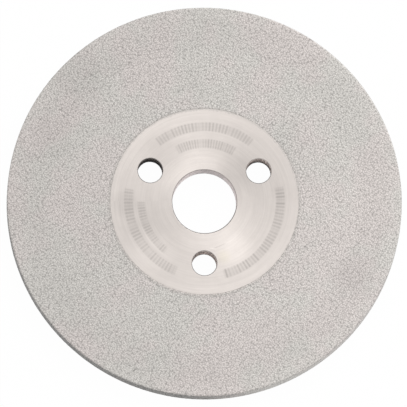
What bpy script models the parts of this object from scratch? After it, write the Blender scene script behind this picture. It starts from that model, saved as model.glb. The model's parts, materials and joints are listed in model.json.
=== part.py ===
# A plated diamond grinding wheel, as a Blender script in metres with +Z up.
#
# The wheel is a turned steel disc with a central bore, three bolt holes and a bare flange
# land round them. Outside the land the face is turned down by the plating's thickness, and
# a single layer of abrasive grit is plated there, level with the land. The plating turns
# over the rounded corner of the rim and runs down the rim's side.
# It lies on its flat back face, and the origin is the centre of the bore on that face.

import math

import bmesh
import bpy

MM = 0.001

# Steel disc
WHEEL_DIAMETER = 101.6 * MM  # over the plating
DISC_THICKNESS = 5.6 * MM  # back face to flange land
RIM_CORNER_RADIUS = 0.15 * MM  # front corner of the steel, under the plating
RIM_BACK_CHAMFER = 0.5 * MM

# Abrasive plating
PLATING_THICKNESS = 0.2 * MM
LAND_DIAMETER = 48.6 * MM  # the bare flange land inside the plated ring
LAND_EDGE_CHAMFER = 0.08 * MM

# Arbor bore
BORE_DIAMETER = 16.5 * MM
BORE_FRONT_CHAMFER = 0.2 * MM
BORE_BACK_CHAMFER = 0.3 * MM

# Bolt holes
BOLT_COUNT = 3
BOLT_CIRCLE_DIAMETER = 32.2 * MM
BOLT_HOLE_DIAMETER = 6.4 * MM
BOLT_HOLE_CHAMFER = 0.15 * MM
FIRST_BOLT_ANGLE = math.radians(-90)

# Fineness of the round forms
WHEEL_STEPS = 144
HOLE_STEPS = 48
CORNER_SEGMENTS = 6
EDGE_SEGMENTS = 3

CUTTER_OVERRUN = 1.0 * MM  # how far a cutter stands out of each face

# Worked out from the sizes above
DISC_RADIUS = WHEEL_DIAMETER / 2 - PLATING_THICKNESS
BORE_RADIUS = BORE_DIAMETER / 2
LAND_RADIUS = LAND_DIAMETER / 2
SEAT_HEIGHT = DISC_THICKNESS - PLATING_THICKNESS
CORNER_CENTRE = (DISC_RADIUS - RIM_CORNER_RADIUS, SEAT_HEIGHT - RIM_CORNER_RADIUS)


def clear_scene():
    for obj in list(bpy.data.objects):
        bpy.data.objects.remove(obj, do_unlink=True)


def new_collection(name):
    made = bpy.data.collections.new(name)
    bpy.context.scene.collection.children.link(made)
    return made


def new_material(name, colour, roughness, metallic):
    made = bpy.data.materials.new(name)
    made.use_nodes = True
    shader = made.node_tree.nodes["Principled BSDF"]
    shader.inputs["Base Color"].default_value = (*colour, 1.0)
    shader.inputs["Roughness"].default_value = roughness
    shader.inputs["Metallic"].default_value = metallic
    return made


def arc(centre, radius, start_deg, end_deg, segments):
    """Points (r, z) along an arc of a profile, both ends included."""
    points = []
    for i in range(segments + 1):
        angle = math.radians(start_deg + (end_deg - start_deg) * i / segments)
        points.append((centre[0] + radius * math.cos(angle), centre[1] + radius * math.sin(angle)))
    return points


def profile_mesh(name, points, is_loop):
    """A wire in the XZ plane through (r, z) points: a ring's whole section, or half a pin's."""
    wire = bmesh.new()
    corners = [wire.verts.new((r, 0.0, z)) for r, z in points]
    for a, b in zip(corners, corners[1:]):
        wire.edges.new((a, b))
    if is_loop:
        wire.edges.new((corners[-1], corners[0]))
    mesh = bpy.data.meshes.new(name)
    wire.to_mesh(mesh)
    wire.free()
    return mesh


def turn_round_z(obj, steps):
    """Sweeps the object's profile into a closed turned shape."""
    screw = obj.modifiers.new("Turned", "SCREW")
    screw.axis = "Z"
    screw.angle = math.tau
    screw.steps = steps
    screw.render_steps = steps
    screw.use_merge_vertices = True
    screw.merge_threshold = 0.00001
    screw.use_smooth_shade = True


def shade_by_area(obj):
    """Lets the large faces set the normals, so that flats look flat and corners look rounded."""
    weighted = obj.modifiers.new("Weighted normals", "WEIGHTED_NORMAL")
    weighted.mode = "FACE_AREA"


def disc_profile():
    """Section of the steel, clockwise from the top of the bore: land, seat, rim, back, bore."""
    land = [
        (BORE_RADIUS, DISC_THICKNESS - BORE_FRONT_CHAMFER),
        (BORE_RADIUS + BORE_FRONT_CHAMFER, DISC_THICKNESS),
        (LAND_RADIUS - LAND_EDGE_CHAMFER, DISC_THICKNESS),
        (LAND_RADIUS, DISC_THICKNESS - LAND_EDGE_CHAMFER),
        (LAND_RADIUS, SEAT_HEIGHT),
    ]
    rim = arc(CORNER_CENTRE, RIM_CORNER_RADIUS, 90, 0, CORNER_SEGMENTS)
    rim += [(DISC_RADIUS, RIM_BACK_CHAMFER), (DISC_RADIUS - RIM_BACK_CHAMFER, 0.0)]
    back = [(BORE_RADIUS + BORE_BACK_CHAMFER, 0.0), (BORE_RADIUS, BORE_BACK_CHAMFER)]
    return land + rim + back


def plating_profile():
    """Section of the plating, clockwise from its edge at the land: the outside, then the seat."""
    edge_centre = (LAND_RADIUS + PLATING_THICKNESS, SEAT_HEIGHT)
    outer_radius = RIM_CORNER_RADIUS + PLATING_THICKNESS
    outside = arc(edge_centre, PLATING_THICKNESS, 180, 90, EDGE_SEGMENTS)
    outside += arc(CORNER_CENTRE, outer_radius, 90, 0, CORNER_SEGMENTS)
    outside += [(WHEEL_DIAMETER / 2, RIM_BACK_CHAMFER)]
    seat = [(DISC_RADIUS, RIM_BACK_CHAMFER)]
    seat += arc(CORNER_CENTRE, RIM_CORNER_RADIUS, 0, 90, CORNER_SEGMENTS)
    return outside + seat


def bolt_hole_profile():
    """Half section of a drilled hole with both its edges broken, run on past both faces."""
    radius = BOLT_HOLE_DIAMETER / 2
    mouth = radius + BOLT_HOLE_CHAMFER + CUTTER_OVERRUN
    top = DISC_THICKNESS + CUTTER_OVERRUN
    return [
        (0.0, top),
        (mouth, top),
        (radius, DISC_THICKNESS - BOLT_HOLE_CHAMFER),
        (radius, BOLT_HOLE_CHAMFER),
        (mouth, -CUTTER_OVERRUN),
        (0.0, -CUTTER_OVERRUN),
    ]


def add_object(name, mesh, collection, parent):
    obj = bpy.data.objects.new(name, mesh)
    collection.objects.link(obj)
    obj.parent = parent
    return obj


def make_bolt_hole_cutters(collection, parent):
    mesh = profile_mesh("bolt_hole_cutter", bolt_hole_profile(), is_loop=False)
    cutters = []
    for i in range(BOLT_COUNT):
        angle = FIRST_BOLT_ANGLE + math.tau * i / BOLT_COUNT
        cutter = add_object(f"bolt_hole_cutter_{i + 1}", mesh, collection, parent)
        cutter.location = (
            BOLT_CIRCLE_DIAMETER / 2 * math.cos(angle),
            BOLT_CIRCLE_DIAMETER / 2 * math.sin(angle),
            0.0,
        )
        cutter.rotation_euler = (0.0, 0.0, angle)
        cutter.hide_render = True
        cutter.display_type = "WIRE"
        turn_round_z(cutter, HOLE_STEPS)
        cutters.append(cutter)
    return cutters


def make_steel_disc(collection, parent, cutters):
    mesh = profile_mesh("steel_disc", disc_profile(), is_loop=True)
    mesh.materials.append(new_material("ground_steel", (0.72, 0.68, 0.65), 0.38, 1.0))
    disc = add_object("steel_disc", mesh, collection, parent)
    turn_round_z(disc, WHEEL_STEPS)
    for i, cutter in enumerate(cutters, start=1):
        cut = disc.modifiers.new(f"Bolt hole {i}", "BOOLEAN")
        cut.operation = "DIFFERENCE"
        cut.solver = "EXACT"
        cut.object = cutter
    shade_by_area(disc)
    return disc


def make_plating(collection, parent):
    mesh = profile_mesh("diamond_plating", plating_profile(), is_loop=True)
    mesh.materials.append(new_material("plated_grit", (0.56, 0.54, 0.52), 0.6, 0.6))
    plating = add_object("diamond_plating", mesh, collection, parent)
    turn_round_z(plating, WHEEL_STEPS)
    shade_by_area(plating)
    return plating


def main():
    clear_scene()
    parts = new_collection("grinding_wheel")
    helpers = new_collection("cutters")
    axis = add_object("wheel_axis", None, parts, None)
    axis.empty_display_size = BORE_RADIUS
    cutters = make_bolt_hole_cutters(helpers, axis)
    make_steel_disc(parts, axis, cutters)
    make_plating(parts, axis)
    bpy.context.view_layer.update()


main()
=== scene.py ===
import json
import math

import bmesh
import bpy
from mathutils import Matrix, Vector, noise


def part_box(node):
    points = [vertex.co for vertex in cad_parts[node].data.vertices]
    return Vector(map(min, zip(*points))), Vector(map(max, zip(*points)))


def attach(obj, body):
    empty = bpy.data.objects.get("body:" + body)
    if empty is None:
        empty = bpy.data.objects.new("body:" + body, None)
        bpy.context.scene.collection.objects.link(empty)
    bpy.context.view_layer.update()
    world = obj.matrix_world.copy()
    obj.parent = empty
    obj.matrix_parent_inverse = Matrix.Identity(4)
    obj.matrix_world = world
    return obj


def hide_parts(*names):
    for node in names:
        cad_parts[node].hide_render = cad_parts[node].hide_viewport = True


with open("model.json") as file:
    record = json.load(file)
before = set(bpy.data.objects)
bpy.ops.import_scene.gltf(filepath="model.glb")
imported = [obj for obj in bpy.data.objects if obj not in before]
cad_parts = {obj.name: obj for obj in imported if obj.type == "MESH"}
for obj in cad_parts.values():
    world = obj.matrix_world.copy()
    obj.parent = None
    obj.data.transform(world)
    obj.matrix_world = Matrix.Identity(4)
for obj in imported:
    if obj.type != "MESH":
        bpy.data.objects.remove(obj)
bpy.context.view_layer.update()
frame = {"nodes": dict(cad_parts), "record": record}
mm = 0.001
near = 0.001 * mm  # points closer than this are taken as one


# Sizes of the wheel, read from the frame

def vertexRadii(nodeName, centre=(0.0, 0.0)):
    verts = frame["nodes"][nodeName].data.vertices
    return [math.hypot(v.co.x - centre[0], v.co.y - centre[1]) for v in verts]


def boltHoleCentres():
    found = []
    for opening in frame["record"]["physics"]["openings"]:
        if opening["name"].startswith("bolt_hole"):
            low, high = opening["box_m"]
            found.append(((low[0] + high[0]) / 2, (low[1] + high[1]) / 2))
    return found


wheel = {
    "rimRadius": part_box("diamond_plating")[1].x,  # over the plating
    "discRadius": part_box("steel_disc")[1].x,  # steel under the plating
    "top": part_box("steel_disc")[1].z,
    "skirtFoot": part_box("diamond_plating")[0].z,  # where the plating ends on the rim's side
    "boreRadius": min(vertexRadii("steel_disc")),
    "landRadius": min(vertexRadii("diamond_plating")),
    "holes": boltHoleCentres(),
}
wheel["plating"] = wheel["rimRadius"] - wheel["discRadius"]
wheel["seat"] = wheel["top"] - wheel["plating"]
wheel["holeRadius"] = min(vertexRadii("steel_disc", wheel["holes"][0]))
print("frame read: the wheel is", round(2 * wheel["rimRadius"] / mm, 1), "mm across")


# Shader maths: a wire is an output socket that takes part in Python expressions

class Wire:
    def __init__(self, tree, socket):
        self.tree, self.socket = tree, socket

    def maths(self, operation, *others):
        values = dict(enumerate((self, *others)))
        return self.tree.node("ShaderNodeMath", {"operation": operation}, values)

    def __add__(self, other):
        return self.maths("ADD", other)

    def __sub__(self, other):
        return self.maths("SUBTRACT", other)

    def __mul__(self, other):
        return self.maths("MULTIPLY", other)

    def __truediv__(self, other):
        return self.maths("DIVIDE", other)

    def __rsub__(self, other):
        return self.maths("MULTIPLY_ADD", -1.0, other)

    __radd__ = __add__
    __rmul__ = __mul__

    def smooth(self, low, high):  # 0 below low and 1 above high
        settings = {"interpolation_type": "SMOOTHSTEP"}
        values = {"Value": self, "From Min": low, "From Max": high}
        return self.tree.node("ShaderNodeMapRange", settings, values)

    def band(self, low, high, soft):  # 1 between low and high, with soft edges
        return self.smooth(low - soft, low + soft) * (1 - self.smooth(high - soft, high + soft))


class Tree:
    def __init__(self, owner):
        owner.use_nodes = True
        self.nodes, self.links = owner.node_tree.nodes, owner.node_tree.links
        self.nodes.clear()

    def node(self, kind, settings=None, values=None, output=0):
        made = self.nodes.new(kind)
        for name, value in (settings or {}).items():
            setattr(made, name, value)
        for key, value in (values or {}).items():
            if isinstance(value, Wire):
                self.links.new(value.socket, made.inputs[key])
            else:
                made.inputs[key].default_value = value
        return Wire(self, made.outputs[output]) if len(made.outputs) else None

    def mix(self, factor, first, second, blend="MIX"):
        settings = {"data_type": "RGBA", "blend_type": blend}
        return self.node("ShaderNodeMix", settings, {0: factor, 6: first, 7: second}, 2)

    def noise(self, place, scale, detail=2.0, roughness=0.5):
        values = {"Vector": place, "Scale": scale, "Detail": detail, "Roughness": roughness}
        return self.node("ShaderNodeTexNoise", None, values)

    def cells(self, place, scale, randomness, output=0):
        values = {"Vector": place, "Scale": scale, "Randomness": randomness}
        return self.node("ShaderNodeTexVoronoi", None, values, output)

    def bump(self, height, distance, strength=1.0):
        values = {"Height": height, "Distance": distance, "Strength": strength}
        return self.node("ShaderNodeBump", None, values)


def rgb(red, green, blue, level=1.0):
    return (red * level, green * level, blue * level, 1.0)


def varied(noise, share):  # a tone round 1 that follows a noise of 0 to 1
    return 1 + share * (noise - 0.5)


def surface(name, values):
    made = bpy.data.materials.new(name)
    tree = Tree(made)
    shader = tree.node("ShaderNodeBsdfPrincipled", None, values(tree))
    tree.node("ShaderNodeOutputMaterial", None, {"Surface": shader})
    return made


coatingEdge = {  # the ragged edge of the plated grit, at the land
    "drop": 0.2 * mm,  # how far below the wheel's axis it is centred
    "wobble": 1.3 * mm,
    "wobbleScale": 1300.0,
}
frontFade = (1.0 * mm, 0.5 * mm)  # below the land, where the marks of the front begin and are full


class Spot:  # where a point of the wheel lies: its coordinates, radius and turn
    def __init__(self, tree):
        self.all = tree.node("ShaderNodeTexCoord", output=3)
        self.x = tree.node("ShaderNodeSeparateXYZ", None, {0: self.all}, 0)
        self.y = tree.node("ShaderNodeSeparateXYZ", None, {0: self.all}, 1)
        self.z = tree.node("ShaderNodeSeparateXYZ", None, {0: self.all}, 2)
        self.radius = (self.x * self.x + self.y * self.y).maths("SQRT")
        self.turn = self.y.maths("ARCTAN2", self.x)
        self.front = self.z.smooth(wheel["top"] - frontFade[0], wheel["top"] - frontFade[1])
        low = self.y + coatingEdge["drop"]
        wobble = tree.noise(self.all, coatingEdge["wobbleScale"], 2.0, 0.6) - 0.5
        self.ragged = (self.x * self.x + low * low).maths("SQRT") + wobble * coatingEdge["wobble"]

    def mark(self, place):  # 1 along a short straight mark
        x, y, degrees, length, width = place
        c, s = math.cos(math.radians(degrees)), math.sin(math.radians(degrees))
        along = (self.x - x) * c + (self.y - y) * s
        across = (self.y - y) * c - (self.x - x) * s
        across = across.band(-width / 2, width / 2, width / 3)
        return along.band(-length / 2, length / 2, length / 5) * across * self.front

    def blot(self, place):  # 1 in the middle of a soft round spot
        x, y, radius = place
        away = ((self.x - x) * (self.x - x) + (self.y - y) * (self.y - y)).maths("SQRT")
        return (1 - away.smooth(0.2 * radius, radius)) * self.front

    def shaded(self, patches):  # level under soft patches, each a blot and how much darker it is
        level = 1.0
        for x, y, radius, darker in patches:
            level = (1 - darker * self.blot((x, y, radius))) * level
        return level


# Bare steel: the land and the back are turned, so their marks run round the axis

turned = {
    "colour": (0.645, 0.597, 0.565),
    "roughness": 0.36,
    "fineMark": 0.28 * mm,  # across the finest turning marks
    "fineTone": 0.20,
    "fineRough": 0.08,
    "wideMark": 0.9 * mm,
    "wideTone": 0.14,
    "markDepth": 0.004 * mm,
    "smudgeScale": 420.0,
    "smudgeTone": 0.08,
    "lobe": 0.12,  # how much brighter the two lobes of painted highlight on the turned face are
    "lobeTurn": math.radians(-66),
    "lobeFade": (12 * mm, 24 * mm),  # radii between which they grow fainter
    "lobeLoss": 0.45,
    "stain": 0.08,  # how much darker the stains are
    "stainScale": 90.0,
    "stainRange": (0.48, 0.7),
    "stainRough": 0.1,
    "etch": 0.25,  # how much darker the etched hatching is
    "inner": 0.05,  # how much brighter the face is beside the bore
    "innerFade": (10 * mm, 15 * mm),
    "outer": 0.03,  # and beside the coating
    "outerRing": (22.3 * mm, 23.9 * mm),
    "fringe": 0.35 * mm,  # how far the coating's ragged edge reaches in
    "fringeShare": 0.8,
    "fringeRough": 0.1,
    "scratches": (  # x, y, slope, length, width and how much darker
        (3.9 * mm, -11.6 * mm, 24, 3.0 * mm, 0.3 * mm, 0.14),
        (2.2 * mm, -12.3 * mm, -8, 1.6 * mm, 0.25 * mm, -0.12),
    ),
    "blot": (4.9 * mm, -14.4 * mm, 2.6 * mm),  # x, y and radius
    "blotColour": (0.645, 0.597, 0.50),
    "blotShare": 0.4,
    "patches": (  # x, y, radius and how much darker
        (8.6 * mm, 8.4 * mm, 7.0 * mm, 0.10),
        (-10.4 * mm, 12.6 * mm, 8.5 * mm, 0.11),
        (7.8 * mm, -12.5 * mm, 6.2 * mm, -0.13),
        (-13.6 * mm, -13.2 * mm, 8.0 * mm, -0.13),
        (-20.5 * mm, -0.8 * mm, 4.5 * mm, 0.09),
    ),
}
etchedArcs = (  # inner radius, outer radius, first angle, last angle, strength
    (18.4 * mm, 20.7 * mm, 52, 128, 1.0),
    (14.0 * mm, 16.3 * mm, 60, 118, 1.0),
    (18.4 * mm, 20.7 * mm, 171, 248, 0.9),
    (15.3 * mm, 17.2 * mm, 181, 232, 0.9),
    (18.4 * mm, 20.7 * mm, 285, 371, 1.2),
)
hatch = {
    "strokes": 140,  # in a full circle
    "together": 9,  # strokes from one gap to the next
    "gap": (0.02, 0.14),
    "halfStroke": (0.16, 0.34),  # against the distance from stroke to stroke
    "ground": 0.35,  # how dark the arc is between the strokes
    "soft": 0.25 * mm,
    "softTurn": 0.01,
}


def etched(tree, spot):  # 1 on the etched arcs, which are bands of plain hatching
    place = spot.turn * (hatch["strokes"] / math.tau)
    number = place.maths("FLOOR")
    values = {"W": number + 0.5}
    chance = tree.node("ShaderNodeTexWhiteNoise", {"noise_dimensions": "1D"}, values)
    across = (place - number - 0.5).maths("ABSOLUTE")  # 0 in the middle of a stroke
    rest = (place / hatch["together"]).maths("FRACT").smooth(*hatch["gap"])  # 0 at the gaps
    ground = hatch["ground"]
    stroke = (1 - across.smooth(*hatch["halfStroke"])) * (ground + (1 - ground) * chance) * rest
    total = 0.0
    for inner, outer, first, last, strength in etchedArcs:
        middle, half = math.radians((first + last) / 2), math.radians((last - first) / 2)
        off = (spot.turn - middle).maths("COSINE")  # 1 at the arc's middle
        ends = off.smooth(math.cos(half) - hatch["softTurn"], math.cos(half) + hatch["softTurn"])
        arc = spot.radius.band(inner, outer, hatch["soft"]) * ends
        total = arc * strength + total
    return total * (ground + (1 - ground) * stroke)


def greyed(tree, tone, level):
    grey = tree.node("ShaderNodeCombineColor", None, {0: level, 1: level, 2: level})
    return tree.mix(1.0, tone, grey, "MULTIPLY")


def turningMarks(tree, spot, pitch, way, roughness):  # noise drawn out round the axis
    values = {0: spot.radius / pitch, 1: spot.turn * way, 2: 0.0}
    return tree.noise(tree.node("ShaderNodeCombineXYZ", None, values), 1.0, 3.0, roughness)


def turnedValues(tree):
    spot = Spot(tree)
    fine = turningMarks(tree, spot, turned["fineMark"], 1.4, 0.7)
    wide = turningMarks(tree, spot, turned["wideMark"], 0.8, 0.6)
    # painted highlight: two bright lobes across the turned face, where a lamp's reflection on turning marks
    # would fall
    reach = 1 - turned["lobeLoss"] * spot.radius.smooth(*turned["lobeFade"])
    highlightLobes = ((spot.turn - turned["lobeTurn"]) * 2.0).maths("COSINE") * reach * turned["lobe"]
    stains = tree.noise(spot.all, turned["stainScale"], 5.0, 0.6).smooth(*turned["stainRange"])
    smudge = tree.noise(spot.all, turned["smudgeScale"], 3.0, 0.6)
    level = (1 + highlightLobes) * varied(fine, turned["fineTone"]) * varied(wide, turned["wideTone"])
    level = level * varied(smudge, turned["smudgeTone"]) * (1 - turned["stain"] * stains)
    level = level * (1 - turned["etch"] * spot.front * etched(tree, spot))
    level = level * spot.shaded(turned["patches"])
    level = level * (1 + turned["inner"] * (1 - spot.radius.smooth(*turned["innerFade"])))
    ring = spot.radius.band(*turned["outerRing"], 0.5 * mm) * spot.front
    level = level * (1 + turned["outer"] * ring)
    for *place, darker in turned["scratches"]:
        level = level * (1 - darker * spot.mark(place))
    fringe = spot.ragged.smooth(wheel["landRadius"] - turned["fringe"], wheel["landRadius"]) * spot.front
    blot = turned["blotShare"] * spot.blot(turned["blot"])
    steel = greyed(tree, tree.mix(blot, rgb(*turned["colour"]), rgb(*turned["blotColour"])), level)
    rough = turned["roughness"] + turned["stainRough"] * stains + turned["fineRough"] * (fine - 0.5)
    return {
        "Base Color": tree.mix(fringe * turned["fringeShare"], steel, rgb(*grit["edgeColour"])),
        "Metallic": 1.0,
        "Roughness": rough + turned["fringeRough"] * fringe,
        "Normal": tree.bump(fine + wide, turned["markDepth"]),
    }


# Broken edges of the bore and the holes, with painted shade on the side that faces up the picture

brokenEdge = {
    "colour": (0.46, 0.425, 0.41),
    "roughness": 0.45,
    "metal": 0.8,
    "dull": 0.6,
    "dullFade": (-0.1, 0.4),  # slopes towards the top of the picture
    "wearScale": 700.0,
    "wearTone": 0.4,
    "wearRough": 0.1,
    "wearDepth": 0.004 * mm,
}


def brokenEdgeValues(tree):
    spot = Spot(tree)
    wear = tree.noise(spot.all, brokenEdge["wearScale"], 3.0, 0.6)
    # painted shade: the faces of the edge that slope towards the top of the picture are darker
    normal = tree.node("ShaderNodeTexCoord", output=1)
    facing = tree.node("ShaderNodeSeparateXYZ", None, {0: normal}, 1).smooth(*brokenEdge["dullFade"])
    level = varied(wear, brokenEdge["wearTone"]) * (1 - brokenEdge["dull"] * facing)
    return {
        "Base Color": greyed(tree, rgb(*brokenEdge["colour"]), level),
        "Metallic": brokenEdge["metal"],
        "Roughness": brokenEdge["roughness"] + brokenEdge["wearRough"] * wear,
        "Normal": tree.bump(wear, brokenEdge["wearDepth"]),
    }


# Walls of the holes and the bore: darker steel with marks along the tool's way, and painted shade that
# differs from hole to hole, with depth and round the bore

wall = {
    "roughness": 0.4,
    "drawn": (1.0, 1.0, 0.3),  # the streaks are drawn out along the axis
    "streakTone": 1.4,
    "streakRough": 0.2,
    "streakDepth": 0.012 * mm,
    "dirtScale": 110.0,
    "dirtTone": 1.0,
}
drilled = {
    "colour": (0.53, 0.475, 0.45),
    "streak": 0.4 * mm,
    "metal": 0.0,
    "gloss": 0.0,
    "parting": (-10 * mm, -6 * mm),  # x that tells the left hole, and y that tells the bottom one
    "left": 0.26,  # painted shade: tone of its wall, against the hole on the right
    "bottom": 1.1,
    "foot": 0.25,  # painted shade: tone at the back of the right and left holes
    "rise": 1.4,  # and what it gains up to the front
    "rib": 0.8,
    "ribRange": (0.4, 0.6),
}
bored = {
    "colour": (0.395, 0.352, 0.346),
    "streak": 0.5 * mm,
    "metal": 0.7,
    "gloss": 0.5,
    # painted shade on the bore's wall, darkest at this turn
    "darkTurn": math.radians(78),
    "darkFade": (0.2, 0.8),  # radians from there
    "lighter": 0.7,  # how much lighter the rest of the wall is
}


def wallValues(finish):
    def values(tree):
        spot = Spot(tree)
        drawn = {0: spot.all, 1: wall["drawn"]}
        along = tree.node("ShaderNodeVectorMath", {"operation": "MULTIPLY"}, drawn)
        streaks = tree.noise(along, 1 / finish["streak"], 3.0, 0.65)
        dirt = tree.noise(spot.all, wall["dirtScale"], 2.0)
        level = varied(streaks, wall["streakTone"]) * varied(dirt, wall["dirtTone"])
        # painted shade: each hole's wall gets its own tone, the left darker and the bottom lighter, and the
        # side holes darker towards the back
        if finish is drilled:
            left = 1 - spot.x.smooth(*finish["parting"])
            bottom = 1 - spot.y.smooth(*finish["parting"])
            level = level * (1 + (finish["left"] - 1) * left + (finish["bottom"] - 1) * bottom)
            gain = finish["rise"] * spot.z / wheel["top"] + (finish["foot"] - 1)
            level = level * (1 + (1 - bottom) * gain)
            level = level * varied(streaks.smooth(*finish["ribRange"]), finish["rib"])
        else:
            # painted shade: the bore's wall is darker round one turn and lighter away from it
            off = (spot.turn - finish["darkTurn"]).maths("ABSOLUTE")
            level = level * (1 + finish["lighter"] * off.smooth(*finish["darkFade"]))
        return {
            "Base Color": greyed(tree, rgb(*finish["colour"]), level),
            "Metallic": finish["metal"],
            "Specular IOR Level": finish["gloss"],
            "Roughness": wall["roughness"] + wall["streakRough"] * streaks,
            "Normal": tree.bump(streaks, wall["streakDepth"]),
        }
    return values


# Plated grit

grit = {
    "colour": (0.581, 0.560, 0.530),
    "warmColour": (0.601, 0.556, 0.534),  # in faint patches
    "warmScale": 75.0,
    "warmRange": (0.4, 0.62),
    "edgeColour": (0.51, 0.48, 0.456),  # plated metal without grains, beside the land
    "sideColour": (0.20, 0.19, 0.18),  # painted shade on one stretch of the rim's side
    "dullTurn": math.radians(-135),  # the middle of that stretch
    "dullFade": (0.4, 0.8),  # cosines of the turn from there to where it ends and is full
    "dullTop": (0.31 * mm, 0.25 * mm),  # below the land, where it is full and ends
    "chip": 0.7 * mm,  # how ragged its upper edge is
    "chipScale": 1900.0,
    "roughness": 0.5,
    "metal": 0.35,
    "grain": 0.36 * mm,  # from one raised grain to the next
    "relief": 0.03 * mm,  # from the tips of the grains to the metal between them
    "flank": 0.3,  # how wide a grain's flanks are
    "heights": 0.28,  # how far the grains differ in height
    "lean": 0.7,  # how far their tops slope
    "seed": 31.7,
    "riseTone": (0.96, 0.06),
    "fineGrain": 0.448 * mm,  # from one painted grain to the next
    "grainTone": (1.32, 0.84),
    "grainRough": 0.15,
    "grainDepth": 0.06 * mm,
    "grainBump": 0.7,
    "scatter": 0.8,  # how unevenly they lie
    "grainTurn": 0.55,  # radians, so that their rows run askew to the axes
    "sideSpeckle": 1.2,  # how far the grains on the rim's side differ in tone
    "patchScale": 45.0,
    "patchTone": 0.08,
    "worn": 0.06,  # how much darker the painted shade makes the face towards one side
    "wornTurn": math.radians(163),
    "lipGap": 0.01 * mm,  # between the land's edge and the plated metal
    "lipBreak": 0.03 * mm,
    "bareEdge": 0.4 * mm,  # width of the plated metal without grains
    "bareRise": 0.7,
    "bareFade": (0.2 * mm, 0.9 * mm),  # from the land's edge, where its tone ends
    "bondFade": (-0.1 * mm, 0.2 * mm),  # and where the tone of the steel ends
    "bondShare": 0.8,
    "outer": 0.03,  # how much darker the outer part of the face is
    "outerRing": (40 * mm, 47.5 * mm),
    "patches": (  # x, y, radius and how much darker
        (20.0 * mm, 15.0 * mm, 9.0 * mm, 0.06),
        (38.2 * mm, -18.9 * mm, 8.0 * mm, 0.07),
        (-32.5 * mm, 32.5 * mm, 10.0 * mm, 0.06),
        (-37.1 * mm, 16.3 * mm, 9.0 * mm, 0.05),
    ),
    "nick": (-17.9 * mm, -44.0 * mm, 35, 1.4 * mm, 0.45 * mm),  # a small dark mark on the face
    "nickTone": 0.35,
    "spacing": 0.3 * mm,  # between the mesh's points
    "turns": (640, 840, 1040),  # steps round the wheel, from the land outwards
    "turnBreaks": (31.5 * mm, 40.5 * mm),  # radii where their number grows
    "seatTurns": 144,
}


def paintedSideShade(tree, spot):  # 1 on the stretch of the rim's side that carries painted shade
    chips = tree.noise(spot.all, grit["chipScale"], 2.0, 0.6) - 0.5
    low, high = wheel["top"] - grit["dullTop"][0], wheel["top"] - grit["dullTop"][1]
    side = 1 - (spot.z + chips * grit["chip"]).smooth(low, high)
    return side * (spot.turn - grit["dullTurn"]).maths("COSINE").smooth(*grit["dullFade"])


def gritValues(tree):
    spot = Spot(tree)
    rise = tree.node("ShaderNodeAttribute", {"attribute_name": "rise"}, None, 2)
    patches = tree.noise(spot.all, grit["patchScale"], 3.0, 0.6)
    angled = {"Vector": spot.all, "Angle": grit["grainTurn"]}
    place = tree.node("ShaderNodeVectorRotate", {"rotation_type": "Z_AXIS"}, angled)
    grains = tree.cells(place, 1 / grit["fineGrain"], grit["scatter"])
    shades = tree.cells(place, 1 / grit["fineGrain"], grit["scatter"], 1)
    tint = tree.node("ShaderNodeSeparateColor", None, {0: shades})
    side = paintedSideShade(tree, spot)
    level = grit["grainTone"][0] - grit["grainTone"][1] * grains
    level = level * varied(tint, grit["sideSpeckle"] * side) * varied(patches, grit["patchTone"])
    level = level * (grit["riseTone"][0] + grit["riseTone"][1] * rise)
    # painted shade: the face grows darker towards one side and towards the rim
    worn = (spot.turn - grit["wornTurn"]).maths("COSINE") * spot.radius / wheel["rimRadius"]
    level = level * (1 - grit["worn"] * worn) * (1 - grit["nickTone"] * spot.mark(grit["nick"]))
    level = level * (1 - grit["outer"] * spot.radius.band(*grit["outerRing"], 1.5 * mm))
    level = level * spot.shaded(grit["patches"])
    bare, bond = [1 - spot.ragged.smooth(wheel["landRadius"] + low, wheel["landRadius"] + high)
                  for low, high in (grit["bareFade"], grit["bondFade"])]
    warm = tree.noise(spot.all, grit["warmScale"], 2.0, 0.6).smooth(*grit["warmRange"])
    coat = tree.mix(warm, rgb(*grit["colour"]), rgb(*grit["warmColour"]))
    coat = tree.mix(bare, coat, rgb(*grit["edgeColour"]))
    coat = tree.mix(bond * grit["bondShare"], coat, rgb(*turned["colour"]))
    # painted shade on the rim's side
    coat = tree.mix(side, coat, rgb(*grit["sideColour"]))
    return {
        "Base Color": greyed(tree, coat, level),
        "Metallic": grit["metal"],
        "Roughness": grit["roughness"] + grit["grainRough"] * (grains - 0.5),
        "Normal": tree.bump(1 - grains, grit["grainDepth"], grit["grainBump"]),
    }


# Building blocks for turned pieces

sectors = 8  # every number of steps round the wheel is a multiple of this


def profileWire(bm, points, isLoop):
    verts = [bm.verts.new((r, 0.0, z)) for r, z in points]
    pairs = list(zip(verts, verts[1:])) + ([(verts[-1], verts[0])] if isLoop else [])
    return verts + [bm.edges.new(pair) for pair in pairs]


def turnProfile(bm, points, steps, isLoop=False):  # one sector is spun, then copied round
    before = set(bm.verts)
    wire = profileWire(bm, points, isLoop)
    turn = {"axis": (0, 0, 1), "cent": (0, 0, 0)}
    bmesh.ops.spin(bm, geom=wire, steps=steps // sectors, angle=math.tau / sectors, **turn)
    made = [vert for vert in bm.verts if vert not in before]
    sector = made + list({edge for vert in made for edge in vert.link_edges})
    sector += list({face for vert in made for face in vert.link_faces})
    rest = sectors - 1
    bmesh.ops.spin(bm, geom=sector, steps=rest, angle=math.tau * rest / sectors, use_duplicate=True, **turn)
    made = [vert for vert in bm.verts if vert not in before]
    bmesh.ops.remove_doubles(bm, verts=made, dist=near)


def arcPoints(centre, radius, start, end, count):
    angles = [math.radians(start + (end - start) * i / count) for i in range(count + 1)]
    return [(centre[0] + radius * math.cos(a), centre[1] + radius * math.sin(a)) for a in angles]


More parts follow.
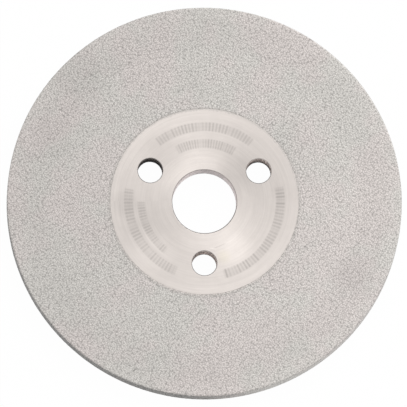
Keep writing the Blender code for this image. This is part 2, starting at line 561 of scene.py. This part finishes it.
def makePiece(name, bm, materials):
    mesh = bpy.data.meshes.new(name)
    bm.to_mesh(mesh)
    bm.free()
    for material in materials:
        mesh.materials.append(material)
    piece = bpy.data.objects.new(name, mesh)
    bpy.context.scene.collection.objects.link(piece)
    return piece


# Steel disc

disc = {
    "steps": 360,
    "holeSteps": 96,
    "cornerRadius": 0.15 * mm,  # front corner of the rim, under the plating
    "boreBreak": 0.2 * mm,
    "boreBackBreak": 0.3 * mm,
    "rimBackBreak": 0.5 * mm,
    "landBreak": 0.03 * mm,
    "holeBreak": 0.15 * mm,
    "soften": 0.03 * mm,  # rounding of every broken edge
    "overrun": 1.0 * mm,  # how far a cutter stands out of the disc
}


def discSection():
    bore, land, rim = wheel["boreRadius"], wheel["landRadius"], wheel["discRadius"]
    top, seat, corner = wheel["top"], wheel["seat"], disc["cornerRadius"]
    front = [
        (bore, top - disc["boreBreak"]),
        (bore + disc["boreBreak"], top),
        (land - disc["landBreak"], top),
        (land, top - disc["landBreak"]),
        (land, seat),
    ]
    side = arcPoints((rim - corner, seat - corner), corner, 90, 0, 8)
    side += [(rim, disc["rimBackBreak"]), (rim - disc["rimBackBreak"], 0.0)]
    back = [(bore + disc["boreBackBreak"], 0.0), (bore, disc["boreBackBreak"])]
    return front + side + back


def isRoundEdge(edge):  # an edge that runs round the axis where two faces meet at an angle
    if len(edge.link_faces) != 2 or edge.calc_face_angle() < math.radians(20):
        return False
    first, second = edge.verts
    return abs(first.co.z - second.co.z) < near


def holeCutter(centre):
    bm = bmesh.new()
    radius, top, out = wheel["holeRadius"], wheel["top"], disc["overrun"]
    mouth = radius + disc["holeBreak"]
    section = [
        (0.0, top + out),
        (mouth + out, top + out),
        (mouth, top),
        (radius, top - disc["holeBreak"]),
        (radius, disc["holeBreak"]),
        (mouth, 0.0),
        (mouth + out, -out),
        (0.0, -out),
    ]
    turnProfile(bm, section, disc["holeSteps"])
    bmesh.ops.recalc_face_normals(bm, faces=bm.faces)
    bmesh.ops.translate(bm, verts=bm.verts, vec=(*centre, 0.0))
    return makePiece("holeCutter", bm, [])


def cutHoles(piece):
    cutters = [holeCutter(centre) for centre in wheel["holes"]]
    for cutter in cutters:
        cut = piece.modifiers.new("Hole", "BOOLEAN")
        cut.solver = "EXACT"
        cut.object = cutter
    depsgraph = bpy.context.evaluated_depsgraph_get()
    cutMesh = bpy.data.meshes.new_from_object(piece.evaluated_get(depsgraph))
    piece.modifiers.clear()
    piece.data = cutMesh
    for cutter in cutters:
        bpy.data.objects.remove(cutter, do_unlink=True)


def finishDiscFaces(piece):  # walls of the bore and the holes, and their broken edges
    for face in piece.data.polygons:
        middle, lean = face.center, abs(face.normal.z)
        nearest = min(math.hypot(middle.x - x, middle.y - y) for x, y in wheel["holes"])
        inBore = math.hypot(middle.x, middle.y) < wheel["boreRadius"] + disc["boreBackBreak"]
        inHole = nearest < wheel["holeRadius"] + disc["holeBreak"]
        if (inBore or inHole) and lean < 0.95:
            face.material_index = 3 if lean > 0.3 else (1 if inHole else 2)


def buildSteelDisc():
    bm = bmesh.new()
    turnProfile(bm, discSection(), disc["steps"], isLoop=True)
    bmesh.ops.recalc_face_normals(bm, faces=bm.faces)
    edges = [edge for edge in bm.edges if isRoundEdge(edge)]
    bmesh.ops.bevel(bm, geom=edges, offset=disc["soften"], segments=2, profile=0.5,
                    affect="EDGES", material=-1)
    piece = makePiece("steelDisc", bm, [])
    cutHoles(piece)
    piece.data.materials.append(surface("turnedSteel", turnedValues))
    piece.data.materials.append(surface("drilledSteel", wallValues(drilled)))
    piece.data.materials.append(surface("boredSteel", wallValues(bored)))
    piece.data.materials.append(surface("brokenEdge", brokenEdgeValues))
    finishDiscFaces(piece)
    piece.data.shade_smooth()
    piece.data.set_sharp_from_angle(angle=math.radians(30))
    for face in piece.data.polygons:
        face.use_smooth = abs(face.normal.z) < 0.999
    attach(piece, "root")
    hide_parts("steel_disc")
    print("steel disc:", len(piece.data.polygons), "faces")
    return piece


# Grit plating: one closed skin whose outside is raised into grains

def spacedPoints(corners, spacing):
    points = []
    for (r0, z0), (r1, z1) in zip(corners, corners[1:]):
        count = max(1, round(math.hypot(r1 - r0, z1 - z0) / spacing))
        points += [(r0 + (r1 - r0) * i / count, z0 + (z1 - z0) * i / count) for i in range(count)]
    return points + [corners[-1]]


def ringEdges(bm, radius, height):
    ring = {v for v in bm.verts if abs(v.co.z - height) < near
            and abs(math.hypot(v.co.x, v.co.y) - radius) < near}
    return [e for e in bm.edges if e.verts[0] in ring and e.verts[1] in ring]


def grainAt(point):  # how far a point of the outside rises
    spread, centres = noise.voronoi(point / grit["grain"])
    seed = centres[0] * grit["seed"]
    body = min(1.0, (spread[1] - spread[0]) / grit["flank"])
    height = 1 - grit["heights"] * (1 - noise.cell(seed))
    lean = grit["lean"] * noise.cell_vector(seed).dot(point / grit["grain"] - centres[0])
    return max(0.0, min(1.0, body * height + lean))


def raiseGrains(bm):  # moves the tagged points
    riseLayer = bm.verts.layers.float.new("rise")
    bm.normal_update()
    start = wheel["landRadius"] + grit["bareEdge"]
    for vert in bm.verts:
        if not vert.tag:
            continue
        rise = grainAt(vert.co) if math.hypot(vert.co.x, vert.co.y) > start else grit["bareRise"]
        vert[riseLayer] = rise
        vert.co -= vert.normal * (grit["relief"] * (1 - rise))


def buildGritPlating():
    land, rim, top = wheel["landRadius"], wheel["rimRadius"], wheel["top"]
    plating, foot = wheel["plating"], wheel["skirtFoot"]
    corner = disc["cornerRadius"] + plating
    spacing = grit["spacing"]
    firstBreak, secondBreak = grit["turnBreaks"]
    lip = land + grit["lipGap"]
    inner = [(lip, wheel["seat"]), (lip, top - grit["lipBreak"])]
    inner += spacedPoints([(lip + grit["lipBreak"], top), (firstBreak, top)], spacing)
    middle = spacedPoints([(firstBreak + spacing, top), (secondBreak, top)], spacing)
    outer = spacedPoints([(secondBreak + spacing, top), (rim - corner, top)], spacing)[:-1]
    outer += arcPoints((rim - corner, top - corner), corner, 90, 0, 4)[:-1]
    outer += spacedPoints([(rim, top - corner), (rim, foot)], spacing)
    bm = bmesh.new()
    for section, steps in zip((inner, middle, outer), grit["turns"]):
        turnProfile(bm, section, steps)
    for here, there in ((inner[-1], middle[0]), (middle[-1], outer[0])):
        bmesh.ops.bridge_loops(bm, edges=ringEdges(bm, *here) + ringEdges(bm, *there))
    seatCorner = disc["cornerRadius"]
    seatRim = wheel["discRadius"]
    seat = [(seatRim, foot)]
    seat += arcPoints((seatRim - seatCorner, wheel["seat"] - seatCorner), seatCorner, 0, 90, 3)
    outside = set(bm.verts)
    turnProfile(bm, seat, grit["seatTurns"])
    bmesh.ops.bridge_loops(bm, edges=ringEdges(bm, rim, foot) + ringEdges(bm, *seat[0]))
    bmesh.ops.bridge_loops(bm, edges=ringEdges(bm, *seat[-1]) + ringEdges(bm, *inner[0]))
    bmesh.ops.recalc_face_normals(bm, faces=bm.faces)
    for vert in bm.verts:
        vert.tag = vert in outside and math.hypot(vert.co.x, vert.co.y) > lip + near
    raiseGrains(bm)
    openEdges = sum(1 for edge in bm.edges if len(edge.link_faces) != 2)
    bmesh.ops.triangulate(bm, faces=bm.faces)
    piece = makePiece("gritPlating", bm, [surface("platedGrit", gritValues)])
    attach(piece, "root")
    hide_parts("diamond_plating")
    print("grit plating:", len(piece.data.polygons), "faces,", openEdges, "open edges")
    return piece


# Floor, light and camera

stage = {
    "floorSize": 3.0,
    "floorDrop": 0.1 * mm,  # below the wheel's back, so that the two don't share a plane
    "floorColour": (0.93, 0.93, 0.925),
    "floorGrain": 400.0,
    "floorMottle": 0.04,
    "floorWhite": 0.98,  # how much of the floor's brightness is its own white
    "zenith": 0.90,
    "horizon": 0.30,
    "lampFrom": (0.62, 0.78, 0.84),
    "lampDistance": 1.6,
    "lampSize": 1.2,
    "lampShare": 0.32,  # of the light on a level white surface
}


def backgroundRays(tree):  # 1 for rays that show the background itself
    path = tree.node("ShaderNodeLightPath")
    outputs = path.socket.node.outputs
    seen = Wire(tree, outputs["Is Camera Ray"]) + Wire(tree, outputs["Is Glossy Ray"])
    return (seen + Wire(tree, outputs["Is Transmission Ray"])).maths("MINIMUM", 1.0)


def buildFloor():
    bm = bmesh.new()
    bmesh.ops.create_grid(bm, x_segments=1, y_segments=1, size=stage["floorSize"] / 2)
    bmesh.ops.translate(bm, verts=bm.verts, vec=(0, 0, -stage["floorDrop"]))
    floorMaterial = bpy.data.materials.new("paleFloor")
    tree = Tree(floorMaterial)
    spot = tree.node("ShaderNodeTexCoord", output=3)
    mottle = tree.noise(spot, stage["floorGrain"]) * stage["floorMottle"]
    paint = tree.mix(mottle, rgb(*stage["floorColour"]), rgb(*stage["floorColour"], 0.95))
    matt = tree.node("ShaderNodeBsdfDiffuse", None, {"Color": paint})
    white = tree.node("ShaderNodeEmission", None, {"Color": rgb(1, 1, 1), "Strength": 1.0})
    share = backgroundRays(tree) * stage["floorWhite"]
    top = tree.node("ShaderNodeMixShader", None, {0: share, 1: matt, 2: white})
    below = tree.node("ShaderNodeNewGeometry", output=6)  # 1 on the underside, which is seen through
    clear = tree.node("ShaderNodeBsdfTransparent")
    both = tree.node("ShaderNodeMixShader", None, {0: below, 1: top, 2: clear})
    tree.node("ShaderNodeOutputMaterial", None, {"Surface": both})
    floor = makePiece("floor", bm, [floorMaterial])


def buildLight():
    world = bpy.data.worlds.new("studio")
    bpy.context.scene.world = world
    tree = Tree(world)
    direction = tree.node("ShaderNodeTexCoord", output=0)
    height = tree.node("ShaderNodeSeparateXYZ", None, {0: direction}, 2)
    sky = stage["horizon"] + (stage["zenith"] - stage["horizon"]) * height.smooth(0.0, 1.0)
    seen = backgroundRays(tree)
    level = sky * (1 - seen) + seen
    shader = tree.node("ShaderNodeBackground", None, {"Color": rgb(1, 1, 1), "Strength": level})
    tree.node("ShaderNodeOutputWorld", None, {"Surface": shader})
    way = Vector(stage["lampFrom"]).normalized()
    lamp = bpy.data.lights.new("softbox", "AREA")
    lamp.shape = "SQUARE"
    lamp.size = stage["lampSize"]
    lamp.energy = stage["lampShare"] * math.pi ** 2 * stage["lampDistance"] ** 2 / way.z
    softbox = bpy.data.objects.new("softbox", lamp)
    turnTo = way.to_track_quat("Z", "Y").to_matrix().to_4x4()
    softbox.matrix_world = Matrix.Translation(way * stage["lampDistance"]) @ turnTo
    bpy.context.scene.collection.objects.link(softbox)


photoView = {
    "fromBelow": 0.1815,  # slope of the line of sight, towards the bottom of the picture
    "fromLeft": 0.03,  # and towards its left
    "distance": 4.0,
    "pictureWidth": 104.66 * mm,  # what the picture's width covers at the wheel's face
    "pixels": 407,
    "faceCentre": (204.48, 201.43),  # centre of the wheel's face in the picture
    "sensor": 36.0,
}


def buildCamera():
    back = Vector((-photoView["fromLeft"], -photoView["fromBelow"], 1.0)).normalized()
    right = Vector((1.0, 0.0, photoView["fromLeft"])).normalized()
    up = back.cross(right)
    pixel = photoView["pictureWidth"] / photoView["pixels"]
    middle = photoView["pixels"] / 2
    offRight = (photoView["faceCentre"][0] - middle) * pixel
    offUp = (middle - photoView["faceCentre"][1]) * pixel
    aim = Vector((0, 0, wheel["top"])) - right * offRight - up * offUp
    lens = bpy.data.cameras.new("photoCamera")
    lens.sensor_width = photoView["sensor"]
    lens.lens = photoView["sensor"] * photoView["distance"] / photoView["pictureWidth"]
    lens.clip_start = 0.01
    camera = bpy.data.objects.new("photoCamera", lens)
    turnTo = Matrix((right, up, back)).transposed().to_4x4()
    camera.matrix_world = Matrix.Translation(aim + back * photoView["distance"]) @ turnTo
    bpy.context.scene.collection.objects.link(camera)
    bpy.context.scene.camera = camera


buildCamera()
buildFloor()
buildLight()
print("camera, floor and light are set")
buildSteelDisc()
buildGritPlating()

bpy.context.scene.view_settings.view_transform = "Standard"
